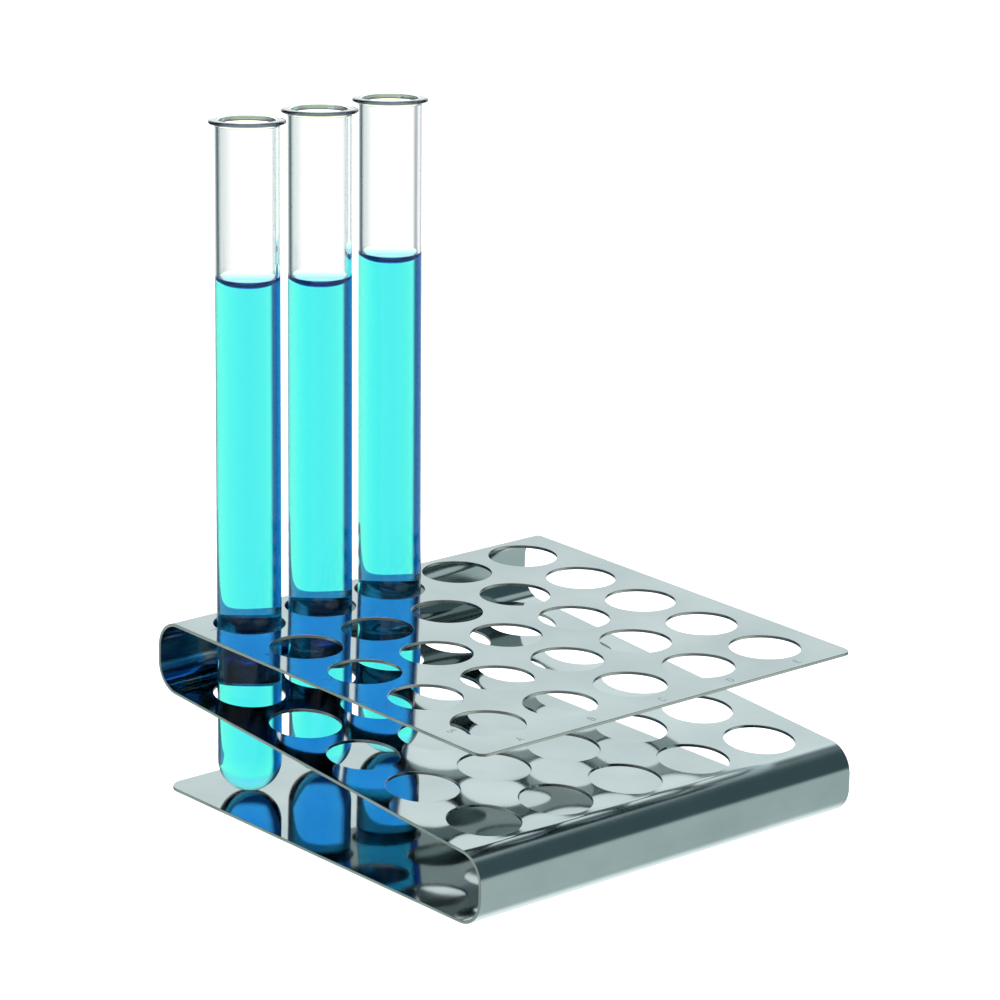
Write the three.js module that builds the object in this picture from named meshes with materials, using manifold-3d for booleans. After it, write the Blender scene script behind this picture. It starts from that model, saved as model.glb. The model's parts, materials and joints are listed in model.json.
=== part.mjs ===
// A test tube rack bent from one strip of stainless steel, with three filled glass test tubes standing in it.
// Millimetres, +Z up. The rack's left bends are at -X, its right bends at +X, and all of them run along Y.
import * as THREE from "three";
import { mergeVertices } from "three/addons/utils/BufferGeometryUtils.js";
import Module from "manifold-3d";

const wasm = await Module();
wasm.setup();

// ---- the steel sheet ----
const STEEL = 0.8; // thickness of the sheet
const DEPTH = 121.2; // length of the bends, along Y
const TOP_LEFT_HEIGHT = 44.2; // upper face of the top plate, carried on to the left wall's outer face
const TOP_EDGE_HEIGHT = 43.3; // the same, at its free edge: the plate droops a little
const BEND_RADIUS = 7.3; // outside radius of the four bends
const LEFT_WALL_X = -62.2; // outer face of the left wall
const RIGHT_WALL_X = 61.4; // outer face of the right wall
const TOP_EDGE_X = 60.6; // free edge of the top plate
const FOOT_EDGE_X = -59.2; // free edge of the bottom plate
const SHELF_LEFT_HEIGHT = 26.9; // upper face of the sloping shelf, carried on to the left wall's outer face
const SHELF_RIGHT_HEIGHT = 17.8; // the same, at the right wall's outer face
const TOP_CORNER_RADIUS = 3;
const FOOT_CORNER_RADIUS = 4.5;
const ARC_STEPS = 8; // flats in each bend and in each rounded corner
const CUT_MARGIN = 1; // how far a cutter reaches past what it cuts

// ---- the holes ----
const HOLES_EACH_WAY = 5;
const PITCH = 22.6;
const SHELF_COLUMN_PITCH = 22.4; // along X, in the shelf
const SHELF_COLUMNS_MIDDLE = -0.3;
const HOLE_RADIUS = 9;
const ABOVE_BOTTOM_PLATE = 8; // a height between the bottom plate and the shelf
const ABOVE_SHELF = 35; // a height between the shelf and the top plate
const ROUND_SIDES = 28; // sides of every hole and tube

// ---- the tubes ----
const TUBE_RADIUS = 8.05;
const TUBE_LENGTH = 168.5;
const GLASS = 1; // wall thickness
const LIP_RADIUS = 9.6; // flange at the mouth
const LIP_HEIGHT = 1;
const FLARE_HEIGHT = 1.5; // of the curve that leads out to the flange
const FOOT_GAP = 0.2; // between a tube's round foot and the bottom plate
const LIQUID_GAP = 0.3; // between the liquid and the glass
const TUBE_COLUMN = -2; // the tubes stand in the holes next to the left wall
const TUBES = [
  { name: "tube_1", row: -2, liquidTop: 129.1 },
  { name: "tube_2", row: -1, liquidTop: 126.2 },
  { name: "tube_3", row: 0, liquidTop: 128.9 },
];
const LEAN = THREE.MathUtils.degToRad(5); // the tubes are loose in their holes and lean back in them
const LEAN_HEADING = THREE.MathUtils.degToRad(148); // turned from +X towards +Y

// ---- materials ----
const steel = new THREE.MeshStandardMaterial({
  color: 0xc6d0d0,
  roughness: 0.15,
  metalness: 1,
  flatShading: true,
});
const glass = new THREE.MeshStandardMaterial({
  color: 0xf2f8f8,
  roughness: 0.03,
  metalness: 0,
  transparent: true,
  opacity: 0.3,
});
const blueLiquid = new THREE.MeshStandardMaterial({
  color: 0x38d8f0,
  roughness: 0.05,
  metalness: 0,
  transparent: true,
  opacity: 0.7,
});

// ---- joining and cutting ----
function toSolid(geometry) {
  const bare = geometry.clone();
  bare.deleteAttribute("normal");
  bare.deleteAttribute("uv");
  const merged = mergeVertices(bare);
  const mesh = new wasm.Mesh({
    numProp: 3,
    vertProperties: new Float32Array(merged.attributes.position.array),
    triVerts: new Uint32Array(merged.index.array),
  });
  return new wasm.Manifold(mesh);
}

function toGeometry(solid) {
  const mesh = solid.getMesh();
  const geometry = new THREE.BufferGeometry();
  geometry.setAttribute("position", new THREE.BufferAttribute(mesh.vertProperties, mesh.numProp));
  geometry.setIndex(new THREE.BufferAttribute(mesh.triVerts, 1));
  geometry.computeVertexNormals();
  return geometry;
}

// ---- the sheet's bent outline ----
// The mid line of the sheet's section, x and z, from the top plate's free edge to the bottom plate's.
function sheetMidLine() {
  const half = STEEL / 2;
  return [
    new THREE.Vector2(TOP_EDGE_X, TOP_EDGE_HEIGHT - half),
    new THREE.Vector2(LEFT_WALL_X + half, TOP_LEFT_HEIGHT - half),
    new THREE.Vector2(LEFT_WALL_X + half, SHELF_LEFT_HEIGHT - half),
    new THREE.Vector2(RIGHT_WALL_X - half, SHELF_RIGHT_HEIGHT - half),
    new THREE.Vector2(RIGHT_WALL_X - half, half),
    new THREE.Vector2(FOOT_EDGE_X, half),
  ];
}

const leftOf = (direction) => new THREE.Vector2(-direction.y, direction.x);

// Adds the face that lies to the left of the mid line to the outline, with every bend as an arc.
function addFace(outline, line) {
  const half = STEEL / 2;
  const midRadius = BEND_RADIUS - half;
  const directions = line.slice(1).map((point, i) => point.clone().sub(line[i]).normalize());
  const start = leftOf(directions[0]).multiplyScalar(half).add(line[0]);
  outline.lineTo(start.x, start.y);
  for (let i = 1; i < directions.length; i++) {
    const before = directions[i - 1];
    const after = directions[i];
    const turn = Math.atan2(before.cross(after), before.dot(after));
    const side = Math.sign(turn);
    const bendStart = before.clone().multiplyScalar(-midRadius * Math.tan(Math.abs(turn) / 2)).add(line[i]);
    const centre = leftOf(before).multiplyScalar(side * midRadius).add(bendStart);
    const startAngle = before.angle() - (side * Math.PI) / 2;
    outline.absarc(centre.x, centre.y, midRadius - side * half, startAngle, startAngle + turn, side < 0);
  }
  const last = directions.length - 1;
  const end = leftOf(directions[last]).multiplyScalar(half).add(line[last + 1]);
  outline.lineTo(end.x, end.y);
}

function bentSheet() {
  const line = sheetMidLine();
  const towardsFreeEdge = line[0].clone().sub(line[1]).normalize();
  const upperRim = leftOf(towardsFreeEdge).multiplyScalar(STEEL / 2).add(line[0]);
  const outline = new THREE.Shape();
  outline.moveTo(upperRim.x, upperRim.y);
  addFace(outline, line);
  addFace(outline, line.slice().reverse());
  const geometry = new THREE.ExtrudeGeometry(outline, {
    depth: DEPTH,
    bevelEnabled: false,
    curveSegments: ARC_STEPS,
  });
  geometry.rotateX(Math.PI / 2);
  geometry.translate(0, DEPTH / 2, 0);
  return toSolid(geometry);
}

// ---- what is cut out of the sheet ----
function holeCutter(x, y, bottom, top) {
  const height = top - bottom;
  const geometry = new THREE.CylinderGeometry(HOLE_RADIUS, HOLE_RADIUS, height, ROUND_SIDES);
  geometry.rotateX(Math.PI / 2);
  geometry.translate(x, y, bottom + height / 2);
  return toSolid(geometry);
}

// What is left of a square corner outside its quarter circle. The corner points to +X+Y before the two signs.
function cornerCutter(x, y, z, radius, signX, signY) {
  const outline = new THREE.Shape();
  outline.moveTo(CUT_MARGIN, -radius);
  outline.lineTo(CUT_MARGIN, CUT_MARGIN);
  outline.lineTo(-radius, CUT_MARGIN);
  outline.absarc(-radius, -radius, radius, Math.PI / 2, 0, true);
  const height = STEEL + 2 * CUT_MARGIN;
  const geometry = new THREE.ExtrudeGeometry(outline, {
    depth: height,
    bevelEnabled: false,
    curveSegments: ARC_STEPS,
  });
  const quarterTurns = { "1,1": 0, "-1,1": 1, "-1,-1": 2, "1,-1": 3 }[`${signX},${signY}`];
  geometry.rotateZ((quarterTurns * Math.PI) / 2);
  geometry.translate(x, y, z - CUT_MARGIN);
  return toSolid(geometry);
}

function rackSheet() {
  const first = -(HOLES_EACH_WAY - 1) / 2;
  const cutters = [];
  for (let column = 0; column < HOLES_EACH_WAY; column++) {
    for (let row = 0; row < HOLES_EACH_WAY; row++) {
      const y = (first + row) * PITCH;
      const topX = (first + column) * PITCH;
      const shelfX = SHELF_COLUMNS_MIDDLE + (first + column) * SHELF_COLUMN_PITCH;
      cutters.push(holeCutter(topX, y, ABOVE_SHELF, TOP_LEFT_HEIGHT + CUT_MARGIN));
      cutters.push(holeCutter(shelfX, y, ABOVE_BOTTOM_PLATE, ABOVE_SHELF));
    }
  }
  for (const side of [-1, 1]) {
    const y = (side * DEPTH) / 2;
    cutters.push(cornerCutter(TOP_EDGE_X, y, TOP_EDGE_HEIGHT - STEEL, TOP_CORNER_RADIUS, 1, side));
    cutters.push(cornerCutter(FOOT_EDGE_X, y, 0, FOOT_CORNER_RADIUS, -1, side));
  }
  const sheet = cutters.reduce((solid, cutter) => solid.subtract(cutter), bentSheet());
  const mesh = new THREE.Mesh(toGeometry(sheet), steel);
  mesh.name = "rack_sheet";
  return mesh;
}

// ---- a tube and its liquid ----
// Both are turned about their own axis, and their origin is the middle of the round foot.
function turned(profile) {
  const geometry = new THREE.LatheGeometry(profile, ROUND_SIDES);
  geometry.rotateX(Math.PI / 2);
  return geometry;
}

// Points of a quarter circle from straight below the origin out to the side, then of what follows it.
function roundFoot(radius) {
  const points = [];
  for (let i = 0; i <= ARC_STEPS; i++) {
    const angle = ((i / ARC_STEPS) * Math.PI) / 2;
    points.push(new THREE.Vector2(radius * Math.sin(angle), -radius * Math.cos(angle)));
  }
  points[0].x = 0;
  return points;
}

function tubeGlass() {
  const inside = TUBE_RADIUS - GLASS;
  const mouth = TUBE_LENGTH - TUBE_RADIUS;
  const profile = [
    ...roundFoot(TUBE_RADIUS),
    new THREE.Vector2(TUBE_RADIUS, mouth - LIP_HEIGHT - FLARE_HEIGHT),
    new THREE.Vector2(TUBE_RADIUS + 0.3, mouth - LIP_HEIGHT - FLARE_HEIGHT / 3),
    new THREE.Vector2(LIP_RADIUS - 0.2, mouth - LIP_HEIGHT),
    new THREE.Vector2(LIP_RADIUS, mouth - LIP_HEIGHT / 2),
    new THREE.Vector2(LIP_RADIUS - 0.2, mouth),
    new THREE.Vector2(TUBE_RADIUS, mouth),
    new THREE.Vector2(inside + 0.2, mouth - LIP_HEIGHT),
    new THREE.Vector2(inside, mouth - LIP_HEIGHT - FLARE_HEIGHT),
    ...roundFoot(inside).reverse(),
  ];
  return new THREE.Mesh(turned(profile), glass);
}

function tubeLiquid(height) {
  const radius = TUBE_RADIUS - GLASS - LIQUID_GAP;
  const profile = [
    ...roundFoot(radius),
    new THREE.Vector2(radius, height),
    new THREE.Vector2(0, height),
  ];
  return new THREE.Mesh(turned(profile), blueLiquid);
}

function filledTube({ name, row, liquidTop }) {
  const axis = new THREE.Vector3(
    Math.sin(LEAN) * Math.cos(LEAN_HEADING),
    Math.sin(LEAN) * Math.sin(LEAN_HEADING),
    Math.cos(LEAN),
  );
  const topX = TUBE_COLUMN * PITCH;
  const shelfX = SHELF_COLUMNS_MIDDLE + TUBE_COLUMN * SHELF_COLUMN_PITCH;
  const topSlope = (TOP_EDGE_HEIGHT - TOP_LEFT_HEIGHT) / (TOP_EDGE_X - LEFT_WALL_X);
  const topHeight = TOP_LEFT_HEIGHT + topSlope * (topX - LEFT_WALL_X);
  const shelfSlope = (SHELF_RIGHT_HEIGHT - SHELF_LEFT_HEIGHT) / (RIGHT_WALL_X - LEFT_WALL_X);
  const shelfHeight = SHELF_LEFT_HEIGHT + shelfSlope * (shelfX - LEFT_WALL_X);
  // Halfway between the two plates the tube is in the middle of its holes.
  const pivot = new THREE.Vector3((topX + shelfX) / 2, row * PITCH, (topHeight + shelfHeight - STEEL) / 2);
  const footHeight = STEEL + FOOT_GAP + TUBE_RADIUS;
  const group = new THREE.Group();
  group.position.copy(pivot).addScaledVector(axis, (footHeight - pivot.z) / axis.z);
  group.quaternion.setFromUnitVectors(new THREE.Vector3(0, 0, 1), axis);
  const body = tubeGlass();
  body.name = `${name}_glass`;
  const liquid = tubeLiquid((liquidTop - footHeight) / axis.z);
  liquid.name = `${name}_liquid`;
  group.add(body, liquid);
  return group;
}

const rack = new THREE.Group();
rack.add(rackSheet());
for (const tube of TUBES) {
  rack.add(filledTube(tube));
}

export default rack;
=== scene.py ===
"""Looks of the test tube rack: a bent sheet of polished steel and three glass tubes of blue liquid.

Everything is in metres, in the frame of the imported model. The sheet is made as the real one is: a flat blank
with its holes, then bent. The tubes and the liquid are turned profiles.
"""
import json
import math

import bpy
from mathutils import Matrix, Vector


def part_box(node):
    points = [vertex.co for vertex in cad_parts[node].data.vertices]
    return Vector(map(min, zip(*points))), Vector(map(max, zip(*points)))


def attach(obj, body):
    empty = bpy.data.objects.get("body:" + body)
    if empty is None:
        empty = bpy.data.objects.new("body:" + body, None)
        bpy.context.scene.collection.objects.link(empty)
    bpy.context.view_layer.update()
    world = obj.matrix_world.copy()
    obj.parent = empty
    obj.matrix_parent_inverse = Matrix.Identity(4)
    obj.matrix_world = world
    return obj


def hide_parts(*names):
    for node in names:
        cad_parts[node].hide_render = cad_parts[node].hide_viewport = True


MM = 0.001

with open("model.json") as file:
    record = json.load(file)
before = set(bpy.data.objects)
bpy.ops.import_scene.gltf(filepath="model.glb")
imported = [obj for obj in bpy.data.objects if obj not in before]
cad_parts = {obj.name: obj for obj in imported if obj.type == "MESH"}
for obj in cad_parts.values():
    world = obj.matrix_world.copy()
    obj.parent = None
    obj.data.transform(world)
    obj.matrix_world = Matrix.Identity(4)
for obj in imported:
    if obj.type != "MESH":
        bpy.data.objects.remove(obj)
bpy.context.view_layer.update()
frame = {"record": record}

# ---- the sheet's sizes: its outside comes from the frame, the rest repeats the design ----
SHEET_LOW, SHEET_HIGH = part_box("rack_sheet")
STEEL = 0.8 * MM
BEND_RADIUS = 7.3 * MM  # outside
LEFT_WALL_X = SHEET_LOW[0]
HALF_DEPTH = (SHEET_HIGH[1] - SHEET_LOW[1]) / 2
RIGHT_WALL_X = SHEET_HIGH[0]
TOP_EDGE_X = 60.6 * MM
FOOT_EDGE_X = -59.2 * MM
TOP_LEFT_HEIGHT = 44.2 * MM  # upper faces, carried on to the outer faces of the walls
TOP_EDGE_HEIGHT = 43.3 * MM
SHELF_LEFT_HEIGHT = 26.9 * MM
SHELF_RIGHT_HEIGHT = 17.8 * MM
TOP_CORNER_RADIUS = 3.0 * MM
FOOT_CORNER_RADIUS = 4.5 * MM
HOLES_EACH_WAY = 5
PITCH = 22.6 * MM
SHELF_COLUMN_PITCH = 22.4 * MM
SHELF_COLUMNS_MIDDLE = -0.3 * MM
HOLE_RADIUS = 9.0 * MM

# ---- how finely the sheet is made ----
HOLE_SIDES = 48
CELL_HALF = 9.65 * MM  # half of the square of sheet around a hole
BEND_STEPS = 18
FOOT_PLATE_STEPS = 14  # along the bottom plate, which no holes divide
EDGE_ROUND = 0.12 * MM  # radius that polishing leaves on every edge
EDGE_LINES = (0.0, 0.035 * MM, EDGE_ROUND)
HOLE_BORDER = 0.32 * MM  # width of the rings round a hole, inside its square
CORNER_LINES = tuple(d * MM for d in (0.45, 0.9, 1.5, 2.25, 3.0, 3.75, 4.5))

# ---- the tubes ----
TUBE_NAMES = ("tube_1", "tube_2", "tube_3")
TUBE_RADIUS = 8.05 * MM
GLASS = 1.0 * MM
LIP_RADIUS = 9.6 * MM
LIP_HEIGHT = 1.0 * MM
FLARE_RADIUS = 0.7 * MM  # where the tube's wall turns out under the lip
THROAT_RADIUS = 0.4 * MM  # where the lip turns into the mouth
LIQUID_OVERLAP = 0.04 * MM  # the liquid wets the glass: it reaches just into it, so no air shows between
LIQUID_GAP = 0.3 * MM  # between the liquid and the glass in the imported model
MENISCUS_RISE = 2.6 * MM
LEVEL_DROP = 1.0 * MM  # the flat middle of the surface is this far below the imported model's
MENISCUS_WIDTH = 1.7 * MM  # over which it falls to a third
MENISCUS_STEPS = 12  # bands of the surface that curve up to the wall
MENISCUS_PAINTED_GLOW = (0.003, 0.021, 0.105, 1)  # painted glow: an emission that paints the liquid drawn up the wall navy; it shows where nothing else is seen through it
TURN_SIDES = 96
FOOT_STEPS = 18
SURFACE_STEPS = 18

# ---- the surfaces: colours run between the two that are given, and depths are of the bump ----
POLISHED_COLOURS = ((0.335, 0.388, 0.396, 1), (0.408, 0.462, 0.466, 1))
CUT_COLOURS = ((0.40, 0.405, 0.38, 1), (0.56, 0.56, 0.53, 1))
ETCHED_COLOURS = ((0.11, 0.125, 0.13, 1), (0.19, 0.21, 0.215, 1))
CLEAR_GLASS_COLOUR = (0.991, 0.995, 0.994, 1)
LIP_PAINTED_SHADE_COLOUR = (0.035, 0.050, 0.075, 1)  # painted shade: the lip's glass is tinted near black, since the thick lip shows almost none of what is behind it
DYE_COLOUR = (0.0, 0.713, 0.922, 1)
DYE_DENSITY = 231.0  # per metre
ROLLING_WAVES = 0.1 * MM
DRAW_LINES = 0.0012 * MM
GLASS_RIPPLES = 0.006 * MM

# ---- studio ----
STUDIO_HEADING = math.radians(48.55)  # the camera's azimuth; 0 looks along +Y
CAMERA_PITCH = math.radians(16.91)
CAMERA_ROLL = math.radians(-1.26)
CAMERA_BACK = 1039.3 * MM  # level distance from the rack's middle
CAMERA_SIDE = -2.3 * MM
CAMERA_HEIGHT = 394.5 * MM
CAMERA_LENS = 159.55
FLOOR_HALF = 4.0
FLOOR_DROP = 0.2 * MM  # the floor is just under the bottom plate, so that the two faces don't flicker

# ---- what the studio looks like from the rack ----
# Headings are in degrees to the right of the camera's own, so 0 is behind the rack.
BRIGHTEST = 6.0  # a ramp holds colours up to 1, so all of them are divided by this
GROUND_MIRRORED = (  # the pale table, some way off, as the steel reflects it
    (-180, (0.20, 0.22, 0.23)),
    (-130, (0.18, 0.20, 0.22)),
    (-100, (0.46, 0.62, 0.58)),
    (-70, (0.56, 0.74, 0.69)),
    (-50, (0.22, 0.25, 0.28)),
    (-31, (0.60, 0.64, 0.66)),
    (-22, (1.30, 1.36, 1.36)),
    (18, (1.50, 1.56, 1.54)),
    (32, (0.60, 0.66, 0.66)),
    (46, (0.12, 0.15, 0.17)),
    (66, (0.14, 0.18, 0.19)),
    (82, (0.74, 0.875, 0.855)),
    (105, (0.75, 0.875, 0.855)),
    (130, (0.60, 0.70, 0.68)),
    (160, (0.25, 0.28, 0.28)),
    (180, (0.20, 0.22, 0.23)),
)
NEAR_GROUND_MIRRORED = (  # the table right under the rack
    (-180, (0.22, 0.25, 0.26)),
    (-110, (0.30, 0.36, 0.36)),
    (-70, (0.70, 0.76, 0.75)),
    (-35, (1.9, 2.0, 1.98)),
    (25, (2.3, 2.4, 2.38)),
    (60, (0.80, 0.94, 0.92)),
    (105, (0.75, 0.875, 0.855)),
    (150, (0.35, 0.40, 0.40)),
    (180, (0.22, 0.25, 0.26)),
)
GROUND_THROUGH_GLASS = (  # the same table, lit from behind, as clear glass shows it
    (-180, (0.78, 0.83, 0.84)),
    (-130, (0.78, 0.83, 0.84)),
    (-105, (0.30, 0.34, 0.36)),
    (-84, (0.10, 0.14, 0.16)),
    (-38, (0.09, 0.14, 0.16)),
    (-29, (0.20, 0.26, 0.28)),
    (-21, (0.70, 0.76, 0.77)),
    (-11, (0.80, 0.85, 0.85)),
    (-6, (1.12, 1.12, 1.13)),
    (7, (1.14, 1.15, 1.15)),
    (12, (0.42, 0.46, 0.48)),
    (22, (0.42, 0.46, 0.48)),
    (27, (1.08, 1.10, 1.11)),
    (60, (0.86, 0.90, 0.92)),
    (80, (0.50, 0.55, 0.58)),
    (110, (0.30, 0.33, 0.34)),
    (140, (0.78, 0.83, 0.84)),
    (180, (0.78, 0.83, 0.84)),
)
GROUND_THROUGH_LIQUID = (  # and as the liquid shows it: stronger than white, which only the dye lets show
    (-180, (1.30, 1.60, 0.95)),
    (-130, (1.30, 1.60, 0.95)),
    (-105, (0.30, 0.60, 0.70)),
    (-84, (0.10, 0.30, 0.56)),
    (-58, (0.10, 0.34, 0.62)),
    (-45, (0.04, 0.28, 0.56)),
    (-38, (0.02, 0.20, 0.40)),
    (-34, (0.02, 0.16, 0.29)),
    (-31, (0.08, 0.40, 0.42)),
    (-28.5, (0.80, 1.60, 0.92)),
    (-26, (1.70, 2.24, 1.10)),
    (0, (1.98, 2.40, 1.18)),
    (30, (1.60, 2.24, 1.12)),
    (80, (1.10, 2.05, 1.08)),
    (105, (0.80, 1.30, 0.95)),
    (130, (1.30, 1.60, 0.95)),
    (180, (1.30, 1.60, 0.95)),
)
NEAR_GROUND_HEIGHTS = (-0.38, -0.65)  # as the sine of the height angle
NEAR_GROUND_THROUGH_GLASS = (0.55, 0.60, 0.62)  # of the table right under the rack, next to the rest
NEAR_GROUND_THROUGH_LIQUID = (0.60, 0.56, 0.90)
LIQUID_IN_THE_MIRROR = (0.86, 1.00, 1.95)  # the tint of the backlight where steel shows it through a tube
PANEL = (1.64, 1.72, 1.72)  # the lit wall behind, above the horizon
PANEL_THROUGH_GLASS = (1.06, 1.08, 1.10)
PANEL_THROUGH_LIQUID = (1.75, 1.80, 1.20)
PANEL_LEFT = (-40, -22)
PANEL_RIGHT = (46, 34)
PANEL_TOP = (47, 40)
SIDE_STRIP = (0.72, 0.82, 0.84)  # a thin lit slot high on the right
SIDE_STRIP_HEIGHTS = (48, 50, 52, 54)
SIDE_STRIP_SIDES = (20, 50)
FRONT_LIGHT = (0.42, 0.46, 0.47)  # the dim room in front of the rack
FRONT_LEFT = (-90, -115)
FRONT_RIGHT = (115, 140)
OVERHEAD = (58, 70)
DARK = (0.085, 0.14, 0.155)  # the unlit room
HORIZON = (-0.10, 0.07)  # as the sine of the height angle

# ---- which backlight a ray gets: the count of surfaces it has passed tells a filled tube from an empty one ----
EMPTY_TUBE = 4  # surfaces passed in going straight through; in a filled tube it is 6
MISSED_BY_A_BOUNCE = EMPTY_TUBE / 2  # a ray that bounces inside the glass doesn't pass the far wall's two
COUNTED_WITH_BOUNCES = 7.5  # a ray that has bounced goes by the count only beyond this
SURELY_FILLED = 10.5  # beyond this a filled tube is taken to be in the way

# ---- the marks that number the holes ----
MARK_HEIGHT = 2.0 * MM
MARK_WIDTH = 1.2 * MM
MARK_STROKE = 0.24 * MM
MARK_LIFT = 0.008 * MM  # the etched film stands this far above the plate
ROW_MARK_FROM_HOLE = (-1.1 * MM, -10.3 * MM)  # from the middle of the nearest hole
COLUMN_MARK_FROM_HOLE = (12.5 * MM, -1.2 * MM)
STROKES = {  # each mark as lines on a grid 2 wide and 4 high
    "1": [[(0.4, 3.2), (1, 4), (1, 0)]],
    "2": [[(0, 3.3), (0.5, 4), (1.5, 4), (2, 3.2), (2, 2.5), (0, 0), (2, 0)]],
    "3": [[(0, 4), (2, 4), (0.9, 2.4), (1.7, 2.2), (2, 1.2), (1.5, 0), (0.4, 0), (0, 0.6)]],
    "4": [[(1.5, 0), (1.5, 4), (0, 1.2), (2, 1.2)]],
    "5": [[(2, 4), (0.2, 4), (0, 2.3), (1.4, 2.4), (2, 1.5), (1.7, 0.2), (0.8, 0), (0, 0.5)]],
    "A": [[(0, 0), (1, 4), (2, 0)], [(0.4, 1.4), (1.6, 1.4)]],
    "B": [[(0, 0), (0, 4), (1.5, 4), (1.9, 3), (1.4, 2.1), (0, 2.1)], [(1.4, 2.1), (2, 1.1), (1.5, 0), (0, 0)]],
    "C": [[(2, 3.3), (1.4, 4), (0.5, 4), (0, 3), (0, 1), (0.5, 0), (1.4, 0), (2, 0.7)]],
    "D": [[(0, 0), (0, 4), (1.2, 4), (2, 2.8), (2, 1.2), (1.2, 0), (0, 0)]],
    "E": [[(2, 4), (0, 4), (0, 0), (2, 0)], [(0, 2.1), (1.5, 2.1)]],
}


# ======== mesh helpers ========
def mesh_object(name, vertices, faces, material, normals=None):
    mesh = bpy.data.meshes.new(name)
    mesh.from_pydata([tuple(v) for v in vertices], [], faces)
    mesh.validate()
    mesh.materials.append(material)
    mesh.shade_smooth()
    if normals:
        mesh.normals_split_custom_set_from_vertices([tuple(n) for n in normals])
    piece = bpy.data.objects.new(name, mesh)
    bpy.context.scene.collection.objects.link(piece)
    return piece


# ======== the sheet: where a point of the flat blank goes once it is bent ========
class BentStrip:
    """The mid line of the sheet's section, as straight runs and arcs from the top plate's free edge."""

    def __init__(self):
        half = STEEL / 2
        corners = [
            Vector((TOP_EDGE_X, TOP_EDGE_HEIGHT - half)),
            Vector((LEFT_WALL_X + half, TOP_LEFT_HEIGHT - half)),
            Vector((LEFT_WALL_X + half, SHELF_LEFT_HEIGHT - half)),
            Vector((RIGHT_WALL_X - half, SHELF_RIGHT_HEIGHT - half)),
            Vector((RIGHT_WALL_X - half, half)),
            Vector((FOOT_EDGE_X, half)),
        ]
        self.radius = BEND_RADIUS - half
        self.runs = []  # (start length, end length, start point, heading, turn)
        headings = [math.atan2(*(b - a).yx) for a, b in zip(corners, corners[1:])]
        length = 0.0
        point = corners[0]
        for i, heading in enumerate(headings):
            last = i == len(headings) - 1
            turn = 0.0 if last else math.remainder(headings[i + 1] - heading, math.tau)
            trim = 0.0 if last else self.radius * math.tan(abs(turn) / 2)
            end = corners[i + 1] - self.along(heading) * trim
            run = (end - point).length
            self.runs.append((length, length + run, point, heading, 0.0))
            length += run
            if not last:
                arc = self.radius * abs(turn)
                self.runs.append((length, length + arc, end, heading, turn))
                length += arc
                point = corners[i + 1] + self.along(headings[i + 1]) * trim
        self.length = length

    @staticmethod
    def along(heading):
        return Vector((math.cos(heading), math.sin(heading)))

    def at(self, s):
        """The mid line's point and heading at a length."""
        for start, end, point, heading, turn in self.runs:
            if s <= end or end == self.length:
                break
        if turn == 0.0:
            return point + self.along(heading) * (s - start), heading
        side = math.copysign(1.0, turn)
        centre = point + self.along(heading + side * math.pi / 2) * self.radius
        now = heading + side * (s - start) / self.radius
        return centre - self.along(now + side * math.pi / 2) * self.radius, now

    def length_at_x(self, run, x):
        start, _, point, heading, _ = self.runs[run]
        return start + (x - point.x) / math.cos(heading)

    def place(self, s, y, height):
        """A blank's point in space. Height is off the mid surface, to the side that is up in the top plate."""
        middle, heading = self.at(s)
        normal = self.along(heading - math.pi / 2)
        spot = middle + normal * height
        return Vector((spot.x, y, spot.y))

    def turn_vector(self, s, ds, dy, up):
        _, heading = self.at(s)
        along = self.along(heading)
        normal = self.along(heading - math.pi / 2)
        return Vector((along.x * ds + normal.x * up, dy, along.y * ds + normal.y * up))


TOP_RUN, SHELF_RUN = 0, 4


def hole_places(pitch, middle=0.0):
    first = -(HOLES_EACH_WAY - 1) / 2
    return [middle + (first + i) * pitch for i in range(HOLES_EACH_WAY)]


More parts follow.
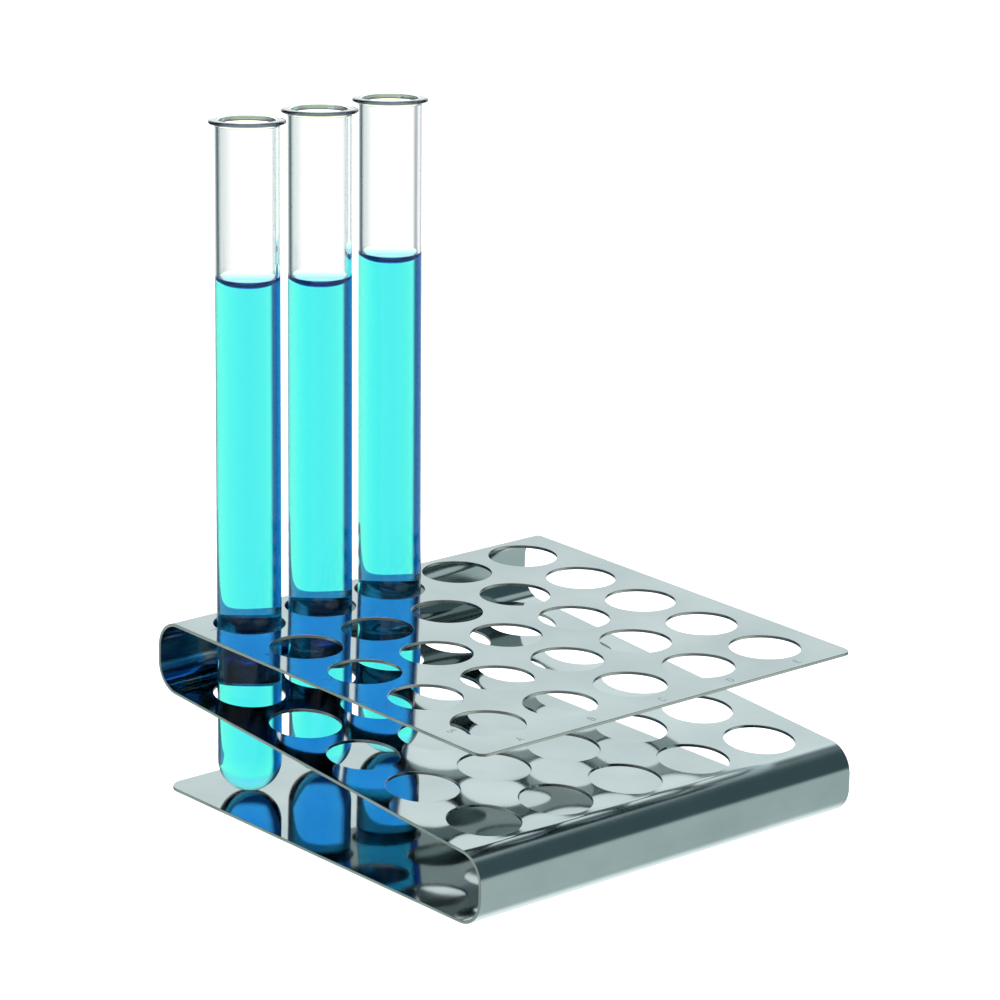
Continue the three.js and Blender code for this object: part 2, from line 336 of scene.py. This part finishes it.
class Blank:
    """The flat blank: a grid, a ring of quads round each hole, and each point's distance to an edge."""

    def __init__(self, strip):
        self.strip = strip
        self.points = []  # (s, y, depth under the edge's rounding, outward s, outward y)
        self.faces = []
        self.index = {}
        pierced = [strip.length_at_x(TOP_RUN, x) for x in hole_places(PITCH)]
        shelf_columns = hole_places(SHELF_COLUMN_PITCH, SHELF_COLUMNS_MIDDLE)
        pierced += [strip.length_at_x(SHELF_RUN, x) for x in shelf_columns]
        self.hole_s = sorted(pierced)
        self.hole_y = hole_places(PITCH)
        self.s_lines = self.lengthways()
        self.y_lines = self.crossways()
        self.fill_grid()
        for s in self.hole_s:
            for y in self.hole_y:
                self.ring_hole(s, y)

    @staticmethod
    def cell_steps():
        """Where rays from a hole's middle meet one side of its square cell."""
        quarter = HOLE_SIDES // 4
        steps = range(-quarter // 2, quarter // 2 + 1)
        return [CELL_HALF * math.tan(k * math.tau / HOLE_SIDES) for k in steps]

    def lengthways(self):
        lines = set()
        for s in self.hole_s:
            lines.update(s + step for step in self.cell_steps())
        for start, end, _, _, turn in self.strip.runs:
            steps = BEND_STEPS if turn else 1
            if end == self.strip.length:
                steps = FOOT_PLATE_STEPS
            lines.update(start + (end - start) * k / steps for k in range(steps + 1))
        for d in (*EDGE_LINES, *CORNER_LINES):
            lines.add(self.strip.length - d)
            if d <= TOP_CORNER_RADIUS:
                lines.add(d)
        return self.thinned(lines)

    def crossways(self):
        lines = set()
        for y in self.hole_y:
            lines.update(y + step for step in self.cell_steps())
        for d in (*EDGE_LINES, *CORNER_LINES):
            lines.update((HALF_DEPTH - d, d - HALF_DEPTH))
        return self.thinned(lines)

    @staticmethod
    def thinned(lines):
        kept = []
        for line in sorted(lines):
            if not kept or line - kept[-1] > 1e-7:
                kept.append(line)
        return kept

    def edge_facts(self, s, y):
        """Moves a point of a square corner onto the round one, and finds its distance to the sheet's edge."""
        free_top, free_foot = s, self.strip.length - s
        radius, end_distance, away = TOP_CORNER_RADIUS, free_top, -1.0
        if free_foot < free_top:
            radius, end_distance, away = FOOT_CORNER_RADIUS, free_foot, 1.0
        side = math.copysign(1.0, y)
        side_distance = HALF_DEPTH - abs(y)
        if end_distance < radius and side_distance < radius:
            u = 1 - end_distance / radius
            v = 1 - side_distance / radius
            u, v = u * math.sqrt(1 - v * v / 2), v * math.sqrt(1 - u * u / 2)
            reach = math.hypot(u, v)
            s += away * (u * radius - (radius - end_distance))
            y = side * (HALF_DEPTH - radius + v * radius)
            scale = 1 / max(reach, 1e-9)
            return s, y, (1 - reach) * radius, away * u * scale, side * v * scale
        if end_distance < side_distance:
            return s, y, end_distance, away, 0.0
        return s, y, side_distance, 0.0, side

    def add(self, s, y, facts=None):
        key = (round(s * 1e7), round(y * 1e7))
        if key not in self.index:
            self.index[key] = len(self.points)
            self.points.append(facts or self.edge_facts(s, y))
        return self.index[key]

    def in_cell(self, s, y):
        near_s = any(abs(s - c) < CELL_HALF for c in self.hole_s)
        near_y = any(abs(y - c) < CELL_HALF for c in self.hole_y)
        return near_s and near_y

    def fill_grid(self):
        for s0, s1 in zip(self.s_lines, self.s_lines[1:]):
            for y0, y1 in zip(self.y_lines, self.y_lines[1:]):
                if self.in_cell((s0 + s1) / 2, (y0 + y1) / 2):
                    continue
                corners = ((s0, y0), (s1, y0), (s1, y1), (s0, y1))
                self.faces.append([self.add(*corner) for corner in corners])

    def ring_hole(self, s, y):
        rings = []
        for distance in (*EDGE_LINES, HOLE_BORDER):
            ring = []
            for k in range(HOLE_SIDES):
                angle = k * math.tau / HOLE_SIDES
                ds, dy = math.cos(angle), math.sin(angle)
                reach = HOLE_RADIUS + distance
                spot = (s + ds * reach, y + dy * reach)
                ring.append(self.add(*spot, (*spot, distance, -ds, -dy)))
            rings.append(ring)
        square = []
        for k in range(HOLE_SIDES):
            angle = k * math.tau / HOLE_SIDES
            ds, dy = math.cos(angle), math.sin(angle)
            reach = CELL_HALF / max(abs(ds), abs(dy))
            square.append(self.add(s + ds * reach, y + dy * reach))
        rings.append(square)
        for inner, outer in zip(rings, rings[1:]):
            for k in range(HOLE_SIDES):
                after = (k + 1) % HOLE_SIDES
                self.faces.append([inner[k], outer[k], outer[after], inner[after]])

    def rim(self):
        """The directed edges that only one face uses."""
        used = {}
        for face in self.faces:
            for a, b in zip(face, face[1:] + face[:1]):
                used[(a, b)] = used.get((a, b), 0) + 1
        return [edge for edge in used if edge[::-1] not in used]


def edge_profile(distance):
    """How far below the face the surface is at a distance from an edge, and how far its normal has turned."""
    if distance >= EDGE_ROUND * 0.999:
        return 0.0, 0.0
    inset = EDGE_ROUND - distance
    drop = EDGE_ROUND - math.sqrt(max(EDGE_ROUND**2 - inset**2, 0.0))
    return drop, math.asin(min(inset / EDGE_ROUND, 1.0))


def rack_sheet(material):
    strip = BentStrip()
    blank = Blank(strip)
    vertices, normals = [], []
    for side in (1.0, -1.0):
        for s, y, distance, out_s, out_y in blank.points:
            drop, tilt = edge_profile(distance)
            vertices.append(strip.place(s, y, side * (STEEL / 2 - drop)))
            outward = math.sin(tilt)
            normal = strip.turn_vector(s, out_s * outward, out_y * outward, side * math.cos(tilt))
            normals.append(normal.normalized())
    count = len(blank.points)
    faces = [face[::-1] for face in blank.faces]
    faces += [[i + count for i in face] for face in blank.faces]
    faces += [[a, b, b + count, a + count] for a, b in blank.rim()]
    return mesh_object("steel_sheet", vertices, faces, material, normals)


# ======== the marks ========
def stroke_strip(points, half, vertices, faces):
    """A flat ribbon along a line of plane points, with mitred corners."""
    first = len(vertices)
    for i, point in enumerate(points):
        before = (point - points[max(i - 1, 0)]).normalized()
        after = (points[min(i + 1, len(points) - 1)] - point).normalized()
        along = (before + after).normalized()
        side = Vector((-along.y, along.x))
        reach = half / max((before + after).length / 2 if 0 < i < len(points) - 1 else 1.0, 0.6)
        vertices.extend((point - side * reach, point + side * reach))
    for i in range(first, len(vertices) - 2, 2):
        faces.append([i, i + 2, i + 3, i + 1])


def hole_marks(material):
    """Small etched figures beside the holes of the edge row, and letters beside those of the edge column."""
    slope = (TOP_EDGE_HEIGHT - TOP_LEFT_HEIGHT) / (TOP_EDGE_X - LEFT_WALL_X)
    flat, faces = [], []
    columns, rows = hole_places(PITCH), hole_places(PITCH)
    marks = []
    for mark, x in zip("12345", columns):
        marks.append((mark, Vector((x + ROW_MARK_FROM_HOLE[0], rows[0] + ROW_MARK_FROM_HOLE[1])), 0.0))
    for mark, y in zip("ABCDE", rows):
        middle = Vector((columns[-1] + COLUMN_MARK_FROM_HOLE[0], y + COLUMN_MARK_FROM_HOLE[1]))
        marks.append((mark, middle, math.pi / 2))
    for mark, middle, angle in marks:
        along = Vector((math.cos(angle), math.sin(angle)))
        up = Vector((-along.y, along.x))
        for line in STROKES[mark]:
            points = []
            for across, high in line:
                sideways = along * (across / 2 - 0.5) * MARK_WIDTH
                points.append(middle + sideways + up * (high / 4 - 0.5) * MARK_HEIGHT)
            stroke_strip(points, MARK_STROKE / 2, flat, faces)
    count = len(flat)
    lifted = []
    for lift in (MARK_LIFT, -MARK_LIFT):
        for spot in flat:
            plate = TOP_LEFT_HEIGHT + slope * (spot.x - LEFT_WALL_X)
            lifted.append(Vector((spot.x, spot.y, plate + lift)))
    faces = faces + [[i + count for i in face[::-1]] for face in faces]
    return mesh_object("hole_marks", lifted, faces, material)


# ======== turned pieces ========
def turned(name, profile, materials, place, level_from=None, second_material=range(0)):
    """A closed solid turned about Z from radius and height pairs that start and end on the axis.

    The points from level_from on belong to a liquid's surface, which stays level when the axis leans. The bands
    that start at the points in second_material take the second of the materials.
    """
    vertices, faces, rings = [], [], []
    up = place.to_3x3().transposed() @ Vector((0, 0, 1))
    for number, (radius, height) in enumerate(profile):
        levelled = level_from is not None and number >= level_from
        if radius < 1e-9:
            rings.append([len(vertices)])
            vertices.append(Vector((0, 0, height)))
            continue
        rings.append(list(range(len(vertices), len(vertices) + TURN_SIDES)))
        for k in range(TURN_SIDES):
            angle = k * math.tau / TURN_SIDES
            spot = Vector((radius * math.cos(angle), radius * math.sin(angle), height))
            if levelled:
                spot.z -= (spot.x * up.x + spot.y * up.y) / up.z
            vertices.append(spot)
    bands = []
    for number, (lower, upper) in enumerate(zip(rings, rings[1:])):
        bands += [number] * TURN_SIDES
        for k in range(TURN_SIDES):
            after = (k + 1) % TURN_SIDES
            if len(lower) == 1:
                faces.append([lower[0], upper[after], upper[k]])
            elif len(upper) == 1:
                faces.append([lower[k], lower[after], upper[0]])
            else:
                faces.append([lower[k], lower[after], upper[after], upper[k]])
    piece = mesh_object(name, [place @ v for v in vertices], faces, materials[0])
    for material in materials[1:]:
        piece.data.materials.append(material)
    for polygon, band in zip(piece.data.polygons, bands):
        polygon.material_index = int(band in second_material)
    return piece


def round_foot(radius):
    steps = range(FOOT_STEPS + 1)
    angles = [math.pi / 2 * k / FOOT_STEPS for k in steps]
    points = [(radius * math.sin(a), -radius * math.cos(a)) for a in angles]
    points[0] = (0.0, -radius)
    return points


def arc_points(centre, radius, start, end, steps):
    angles = [math.radians(start + (end - start) * k / steps) for k in range(steps + 1)]
    return [(centre[0] + radius * math.cos(a), centre[1] + radius * math.sin(a)) for a in angles]


def glass_profile(mouth):
    """The tube's outline, and the numbers of the points round its lip."""
    inside = TUBE_RADIUS - GLASS
    lip = LIP_HEIGHT / 2
    flare_middle = (TUBE_RADIUS + FLARE_RADIUS, mouth - LIP_HEIGHT - FLARE_RADIUS)
    flare = arc_points(flare_middle, FLARE_RADIUS, 180, 95, 6)
    bead = arc_points((LIP_RADIUS - lip, mouth - lip), lip, -90, 90, 8)
    throat = arc_points((inside + THROAT_RADIUS, mouth - THROAT_RADIUS), THROAT_RADIUS, 90, 180, 6)
    outside = [*round_foot(TUBE_RADIUS), (TUBE_RADIUS, mouth * 0.5), *flare]
    inner_side = [*throat, (inside, mouth * 0.5), *reversed(round_foot(inside))]
    lip_points = range(len(outside) - 1, len(outside) + len(bead))
    return [*outside, *bead, *inner_side], lip_points


def liquid_profile(level):
    """The liquid's outline, and the number of the first point of its surface."""
    radius = TUBE_RADIUS - GLASS + LIQUID_OVERLAP
    surface = []
    for k in range(SURFACE_STEPS + 1):
        inset = radius * (k / SURFACE_STEPS) ** 2
        surface.append((radius - inset, level + MENISCUS_RISE * math.exp(-inset / MENISCUS_WIDTH)))
    surface[-1] = (0.0, surface[-1][1])
    edge = (radius, surface[0][1] - 0.05 * MM)
    sides = [*round_foot(radius), (radius, level * 0.5)]
    return [*sides, edge, *surface], len(sides)


def tube_place(name):
    """The tube's own frame: the origin is the middle of its round foot, and Z is its axis."""
    joint = next(j for j in frame["record"]["behaviour"]["joints"] if j["child"] == name)
    axis = Vector(joint["axis"]).normalized()
    low, high = (Vector(corner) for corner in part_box(f"{name}_glass"))
    foot_height = low.z + TUBE_RADIUS
    lip_x = LIP_RADIUS * math.sqrt(1 - axis.x**2)
    lip_y = LIP_RADIUS * math.sqrt(1 - axis.y**2)
    lip_z = LIP_RADIUS * math.sqrt(1 - axis.z**2)
    mouth_height = high.z - lip_z
    length = (mouth_height - foot_height) / axis.z
    lip_centre_x = low.x + lip_x
    lip_centre_y = high.y - lip_y
    origin = Vector((
        lip_centre_x - axis.x * length,
        lip_centre_y - axis.y * length,
        foot_height,
    ))
    turn = Vector((0, 0, 1)).rotation_difference(axis).to_matrix().to_4x4()
    return Matrix.Translation(origin) @ turn, length


# ======== materials ========
def new_material(name):
    material = bpy.data.materials.new(name)
    material.use_nodes = True
    return material, material.node_tree.links, material.node_tree.nodes["Principled BSDF"]


def add_node(material, kind, inputs=(), **settings):
    """A shader node with its settings, and its inputs by name: each a value, or another node's output."""
    tree = material.node_tree
    node = tree.nodes.new(kind)
    for name, value in settings.items():
        setattr(node, name, value)
    for name, value in dict(inputs).items():
        if isinstance(value, bpy.types.NodeSocket):
            tree.links.new(value, node.inputs[name])
        else:
            node.inputs[name].default_value = value
    return node


def place_in_object(material, stretch):
    """Object coordinates, scaled along each axis: a big number packs detail close along that axis."""
    source = add_node(material, "ShaderNodeTexCoord").outputs["Object"]
    return add_node(material, "ShaderNodeMapping", {"Vector": source, "Scale": stretch}).outputs["Vector"]


def noise(material, stretch, scale, detail=3.0):
    spot = place_in_object(material, stretch)
    inputs = {"Vector": spot, "Scale": scale, "Detail": detail}
    return add_node(material, "ShaderNodeTexNoise", inputs).outputs["Fac"]


def spread(material, value, low, high, start=0.3, end=0.7):
    """Maps the middle part of a noise to a range."""
    inputs = {"Value": value, "From Min": start, "From Max": end, "To Min": low, "To Max": high}
    return add_node(material, "ShaderNodeMapRange", inputs).outputs["Result"]


def arithmetic(material, operation, a, b):
    node = add_node(material, "ShaderNodeMath", operation=operation)
    for socket, value in zip(node.inputs, (a, b)):
        if isinstance(value, bpy.types.NodeSocket):
            material.node_tree.links.new(value, socket)
        else:
            socket.default_value = value
    return node.outputs[0]


def relief(material, height, depth, **inputs):
    """A bumped normal, where the height map's full range is a depth in metres."""
    inputs = {"Height": height, "Strength": 1.0, "Distance": depth, **inputs}
    return add_node(material, "ShaderNodeBump", inputs).outputs["Normal"]


def mix_colours(material, factor, a, b):
    node = add_node(material, "ShaderNodeMix", data_type="RGBA")
    for socket, value in zip((node.inputs[0], node.inputs[6], node.inputs[7]), (factor, a, b)):
        if isinstance(value, bpy.types.NodeSocket):
            material.node_tree.links.new(value, socket)
        else:
            socket.default_value = value
    return node.outputs[2]


def steel_material():
    """Polished sheet: slow waves from rolling, fine draw lines along the bends, satin walls, raw cut edges."""
    material, links, shader = new_material("polished steel")
    shader.inputs["Metallic"].default_value = 1.0
    shader.inputs["Specular Tint"].default_value = (0.62, 0.62, 0.62, 1)
    where = add_node(material, "ShaderNodeTexCoord")
    split = add_node(material, "ShaderNodeSeparateXYZ", {"Vector": where.outputs["Object"]})
    facing = add_node(material, "ShaderNodeSeparateXYZ", {"Vector": where.outputs["Normal"]})
    across = arithmetic(material, "ABSOLUTE", facing.outputs["Y"], 0.0)
    cut_ends = spread(material, across, 0.0, 1.0, 0.35, 0.6)
    end_faces = arithmetic(material, "ABSOLUTE", facing.outputs["X"], 0.0)
    end_faces = spread(material, end_faces, 0.0, 1.0, 0.6, 0.9)
    top_plate = (TOP_EDGE_HEIGHT - 1.5 * STEEL, TOP_EDGE_HEIGHT - STEEL)
    high_up = spread(material, split.outputs["Z"], 0.0, 1.0, *top_plate)
    free_edge = arithmetic(material, "MULTIPLY", end_faces, high_up)
    raw = arithmetic(material, "MAXIMUM", cut_ends, free_edge)

    clouds = noise(material, (1, 1, 1), 38.0, 4.0)
    lines = noise(material, (900, 12, 900), 1.0, 3.0)
    smears = noise(material, (1.0, 0.35, 1.0), 120.0, 5.0)
    polished = mix_colours(material, spread(material, clouds, 0.0, 1.0), *POLISHED_COLOURS)
    cut_colour = mix_colours(material, spread(material, smears, 0.0, 1.0), *CUT_COLOURS)
    colour = mix_colours(material, raw, polished, cut_colour)
    links.new(colour, shader.inputs["Base Color"])

    right_bends = (RIGHT_WALL_X - 8.5 * MM, RIGHT_WALL_X - 4.0 * MM)
    under_the_plate = (SHELF_RIGHT_HEIGHT, SHELF_RIGHT_HEIGHT + 6.0 * MM)
    left_bends = (LEFT_WALL_X + 0.4 * MM, LEFT_WALL_X + 4.0 * MM)
    right_wall = spread(material, split.outputs["X"], 0.0, 1.0, *right_bends)
    low = spread(material, split.outputs["Z"], 1.0, 0.0, *under_the_plate)
    left_wall = spread(material, split.outputs["X"], 1.0, 0.0, *left_bends)
    satin = arithmetic(material, "MAXIMUM", arithmetic(material, "MULTIPLY", right_wall, low), left_wall)
    polish = spread(material, clouds, 0.025, 0.055)
    polish = arithmetic(material, "ADD", polish, spread(material, smears, 0.0, 0.02))
    dull = arithmetic(material, "MULTIPLY", satin, spread(material, lines, 0.07, 0.15))
    roughness = arithmetic(material, "ADD", polish, dull)
    roughness = arithmetic(material, "ADD", roughness, arithmetic(material, "MULTIPLY", raw, 0.25))
    links.new(roughness, shader.inputs["Roughness"])

    waves = relief(material, noise(material, (1, 1, 1), 22.0, 1.5), ROLLING_WAVES)
    links.new(relief(material, lines, DRAW_LINES, Normal=waves), shader.inputs["Normal"])
    return material


def etched_material():
    """The marks: the same steel, etched dull and grey."""
    material, links, shader = new_material("etched steel")
    grain = noise(material, (1, 1, 1), 9000.0, 2.0)
    colour = mix_colours(material, spread(material, grain, 0.0, 1.0), *ETCHED_COLOURS)
    links.new(colour, shader.inputs["Base Color"])
    links.new(spread(material, grain, 0.35, 0.55), shader.inputs["Roughness"])
    shader.inputs["Metallic"].default_value = 1.0
    return material


def glass_material(name, colour):
    """Drawn glass of the given colour: faint draw lines along the tube and a slightly uneven polish. The tube's
    glass is clear; the lip's is tinted near black as painted shade.
    """
    material, links, shader = new_material(name)
    shader.inputs["Base Color"].default_value = colour
    shader.inputs["IOR"].default_value = 1.47
    shader.inputs["Transmission Weight"].default_value = 1.0
    shader.inputs["Specular Tint"].default_value = (0.35, 0.38, 0.42, 1)
    clouds = noise(material, (1, 1, 0.2), 60.0, 2.0)
    links.new(spread(material, clouds, 0.0, 0.008), shader.inputs["Roughness"])
    drawn = noise(material, (1, 1, 0.03), 420.0, 2.0)
    links.new(relief(material, drawn, GLASS_RIPPLES), shader.inputs["Normal"])
    return material


def liquid_material(name, painted_glow=(0, 0, 0, 1)):
    """A clear dye solution: it takes out red first, then green, so it is turquoise where it is thin. A painted
    glow, when given, is added as emission.
    """
    material, links, shader = new_material(name)
    shader.inputs["Base Color"].default_value = (1, 1, 1, 1)
    # painted glow: emission of a fixed colour, though the liquid is no lamp
    shader.inputs["Emission Color"].default_value = painted_glow
    shader.inputs["Emission Strength"].default_value = 1.0
    shader.inputs["Roughness"].default_value = 0.0
    shader.inputs["IOR"].default_value = 1.333
    shader.inputs["Transmission Weight"].default_value = 1.0
    shader.inputs["Specular Tint"].default_value = (0.5, 0.5, 0.5, 1)
    ripples = noise(material, (1, 1, 1), 160.0, 1.0)
    links.new(relief(material, ripples, GLASS_RIPPLES), shader.inputs["Normal"])
    absorb = add_node(material, "ShaderNodeVolumeAbsorption", {"Color": DYE_COLOUR, "Density": DYE_DENSITY})
    links.new(absorb.outputs["Volume"], material.node_tree.nodes["Material Output"].inputs["Volume"])
    return material


# ======== studio ========
def add_camera():
    heading, pitch, roll = STUDIO_HEADING, CAMERA_PITCH, CAMERA_ROLL
    level = Vector((-math.sin(heading), math.cos(heading), 0))
    right = Vector((math.cos(heading), math.sin(heading), 0))
    forward = level * math.cos(pitch) - Vector((0, 0, math.sin(pitch)))
    down = forward.cross(right)
    rolled_right = right * math.cos(roll) + down * math.sin(roll)
    rolled_down = down * math.cos(roll) - right * math.sin(roll)
    place = Vector((0, 0, CAMERA_HEIGHT)) - level * CAMERA_BACK + right * CAMERA_SIDE
    data = bpy.data.cameras.new("camera")
    data.lens = CAMERA_LENS
    data.sensor_width = 36.0
    data.clip_start = 0.05
    camera = bpy.data.objects.new("camera", data)
    turn = Matrix((rolled_right, -rolled_down, -forward)).transposed().to_4x4()
    camera.matrix_world = Matrix.Translation(place) @ turn
    bpy.context.scene.collection.objects.link(camera)
    bpy.context.scene.camera = camera


def ramp_node(nodes, stops):
    """A colour ramp from (position, colour) pairs."""
    ramp = nodes.new("ShaderNodeValToRGB")
    elements = ramp.color_ramp.elements
    while len(elements) > 1:
        elements.remove(elements[-1])
    for i, (position, colour) in enumerate(stops):
        element = elements[0] if i == 0 else elements.new(position)
        element.position = position
        element.color = (*colour, 1)
    return ramp


def add_world():
    """The studio by direction: the table, lit panels and unlit gaps.

    Steel mirrors one table, and what is seen through glass and through liquid is lit differently. The camera
    itself sees plain white.
    """
    world = bpy.data.worlds.new("studio")
    bpy.context.scene.world = world
    world.use_nodes = True
    nodes, links = world.node_tree.nodes, world.node_tree.links
    background = nodes["Background"]
    coordinates = nodes.new("ShaderNodeTexCoord")

    def dot(vector):
        node = nodes.new("ShaderNodeVectorMath")
        node.operation = "DOT_PRODUCT"
        links.new(coordinates.outputs["Generated"], node.inputs[0])
        node.inputs[1].default_value = vector
        return node.outputs["Value"]

    def combine(operation, a, b):
        node = nodes.new("ShaderNodeMath")
        node.operation = operation
        for socket, value in zip(node.inputs, (a, b)):
            if isinstance(value, (int, float)):
                socket.default_value = value
            else:
                links.new(value, socket)
        return node.outputs[0]

    def step(value, start, end):
        node = nodes.new("ShaderNodeMapRange")
        node.interpolation_type = "SMOOTHSTEP"
        node.inputs["From Min"].default_value = start
        node.inputs["From Max"].default_value = end
        links.new(value, node.inputs["Value"])
        return node.outputs["Result"]

    def blend(factor, a, b):
        node = nodes.new("ShaderNodeMix")
        node.data_type = "RGBA"
        links.new(factor, node.inputs[0])
        for socket, value in zip((node.inputs[6], node.inputs[7]), (a, b)):
            if isinstance(value, tuple):
                socket.default_value = (*value, 1)
            else:
                links.new(value, socket)
        return node.outputs[2]

    def dimmed(colour):
        return tuple(part / BRIGHTEST for part in colour)

    def all_round(stops):
        ramp = ramp_node(nodes, [((degrees + 180) / 360, dimmed(colour)) for degrees, colour in stops])
        links.new(turn, ramp.inputs["Fac"])
        return ramp.outputs["Color"]

    def tinted(colour, tint):
        node = nodes.new("ShaderNodeVectorMath")
        node.operation = "MULTIPLY"
        links.new(colour, node.inputs[0])
        node.inputs[1].default_value = tint
        return node.outputs[0]

    def window(value, *angles):
        """1 between the two middle angles, and 0 outside the outer two."""
        rise = step(value, *(math.sin(math.radians(a)) for a in angles[:2]))
        fall = step(value, *(math.sin(math.radians(a)) for a in angles[:1:-1]))
        return combine("MULTIPLY", rise, fall)

    def sides(start, end):
        return step(azimuth, math.radians(start), math.radians(end))

    heading = STUDIO_HEADING
    behind = dot((-math.sin(heading), math.cos(heading), 0))
    right = dot((math.cos(heading), math.sin(heading), 0))
    height = dot((0, 0, 1))
    azimuth = combine("ARCTAN2", right, behind)
    turn = combine("ADD", combine("DIVIDE", azimuth, math.tau), 0.5)
    near = step(height, *NEAR_GROUND_HEIGHTS)
    above_horizon = step(height, *HORIZON)

    top_side = step(height, *(math.sin(math.radians(a)) for a in PANEL_TOP))
    panel = combine("MULTIPLY", combine("MULTIPLY", sides(*PANEL_LEFT), sides(*PANEL_RIGHT)), top_side)
    front = combine("ADD", sides(*FRONT_LEFT), sides(*FRONT_RIGHT))
    overhead = step(height, *(math.sin(math.radians(a)) for a in OVERHEAD))
    strip = combine("MULTIPLY", window(height, *SIDE_STRIP_HEIGHTS), sides(*SIDE_STRIP_SIDES))

    def sky(panel_colour):
        room = blend(front, dimmed(DARK), dimmed(FRONT_LIGHT))
        room = blend(strip, room, dimmed(SIDE_STRIP))
        return blend(combine("MAXIMUM", panel, overhead), room, dimmed(panel_colour))

    ground = blend(near, all_round(GROUND_MIRRORED), all_round(NEAR_GROUND_MIRRORED))
    mirrored = blend(above_horizon, ground, sky(PANEL))

    def backlight(stops, under_the_rack, panel_colour):
        """What is seen through a tube: the table all round, tinted where it is under the rack, and the sky."""
        table = all_round(stops)
        table = blend(near, table, tinted(table, under_the_rack))
        return blend(above_horizon, table, sky(panel_colour))

    path = nodes.new("ShaderNodeLightPath")
    through_glass = backlight(GROUND_THROUGH_GLASS, NEAR_GROUND_THROUGH_GLASS, PANEL_THROUGH_GLASS)
    through_liquid = backlight(GROUND_THROUGH_LIQUID, NEAR_GROUND_THROUGH_LIQUID, PANEL_THROUGH_LIQUID)
    passed = path.outputs["Transmission Depth"]
    bounced = path.outputs["Glossy Depth"]
    counted = combine("ADD", passed, combine("MULTIPLY", bounced, MISSED_BY_A_BOUNCE))
    left_over = combine("GREATER_THAN", combine("MODULO", counted, EMPTY_TUBE), 1.0)
    never_bounced = combine("LESS_THAN", bounced, 0.5)
    countable = combine("MAXIMUM", combine("GREATER_THAN", passed, COUNTED_WITH_BOUNCES), never_bounced)
    filled = combine("MULTIPLY", left_over, countable)
    filled = combine("MAXIMUM", filled, combine("GREATER_THAN", passed, SURELY_FILLED))
    from_steel = combine("MULTIPLY", above_horizon, combine("GREATER_THAN", bounced, 0.5))
    from_steel = combine("MAXIMUM", from_steel, combine("GREATER_THAN", bounced, 1.5))
    in_liquid = blend(from_steel, filled, combine("GREATER_THAN", passed, EMPTY_TUBE + 0.5))
    through_liquid = blend(from_steel, through_liquid, tinted(through_liquid, LIQUID_IN_THE_MIRROR))
    through_glass = blend(in_liquid, through_glass, through_liquid)
    seen = blend(path.outputs["Is Transmission Ray"], mirrored, through_glass)
    seen = blend(path.outputs["Is Camera Ray"], seen, dimmed((1, 1, 1)))
    links.new(seen, background.inputs["Color"])
    background.inputs["Strength"].default_value = BRIGHTEST


def add_floor():
    """A plain white floor. It is there for the eye: the studio's own lower half lights the rack."""
    h = FLOOR_HALF
    material, _, shader = new_material("floor white")
    shader.inputs["Base Color"].default_value = (0.9, 0.9, 0.9, 1)
    shader.inputs["Emission Color"].default_value = (1, 1, 1, 1)
    shader.inputs["Emission Strength"].default_value = 1.0
    corners = [(-h, -h, 0), (h, -h, 0), (h, h, 0), (-h, h, 0)]
    floor = mesh_object("floor", corners, [[0, 1, 2, 3]], material)
    floor.location.z = -FLOOR_DROP
    floor.visible_glossy = False
    floor.visible_transmission = False
    floor.visible_diffuse = False
    floor.visible_shadow = False


# ======== the assembly ========
def build():
    steel, liquid = steel_material(), liquid_material("blue liquid")
    # the ring material has a painted glow: emission that paints the meniscus ring navy
    ring = liquid_material("liquid drawn up the wall with painted glow", MENISCUS_PAINTED_GLOW)
    glass = glass_material("clear glass", CLEAR_GLASS_COLOUR)
    # the lip glass is tinted near black: painted shade for the lip's dark look
    lip_glass_painted_dark = glass_material("fire-polished lip, painted dark", LIP_PAINTED_SHADE_COLOUR)
    sheet = rack_sheet(steel)
    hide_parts("rack_sheet")
    marks = hole_marks(etched_material())
    for piece in (sheet, marks):
        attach(piece, "rack")
    for name in TUBE_NAMES:
        place, length = tube_place(name)
        profile, lip_points = glass_profile(length)
        body = turned(f"{name}_body", profile, (glass, lip_glass_painted_dark), place, second_material=lip_points)
        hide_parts(f"{name}_glass")
        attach(body, name)
        liquid_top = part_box(f"{name}_liquid")[1][2]
        axis_z = (place.to_3x3() @ Vector((0, 0, 1))).z
        tilt = math.sqrt(1 - axis_z**2)
        liquid_radius = TUBE_RADIUS - GLASS - LIQUID_GAP
        level = (liquid_top - liquid_radius * tilt - place.translation.z) / axis_z - LEVEL_DROP
        profile, surface_start = liquid_profile(level)
        ring_points = range(surface_start, surface_start + MENISCUS_STEPS)
        fill = turned(f"{name}_fill", profile, (liquid, ring), place, surface_start, ring_points)
        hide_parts(f"{name}_liquid")
        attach(fill, name)


build()
add_floor()
add_world()
add_camera()
bpy.context.scene.view_settings.view_transform = "Standard"
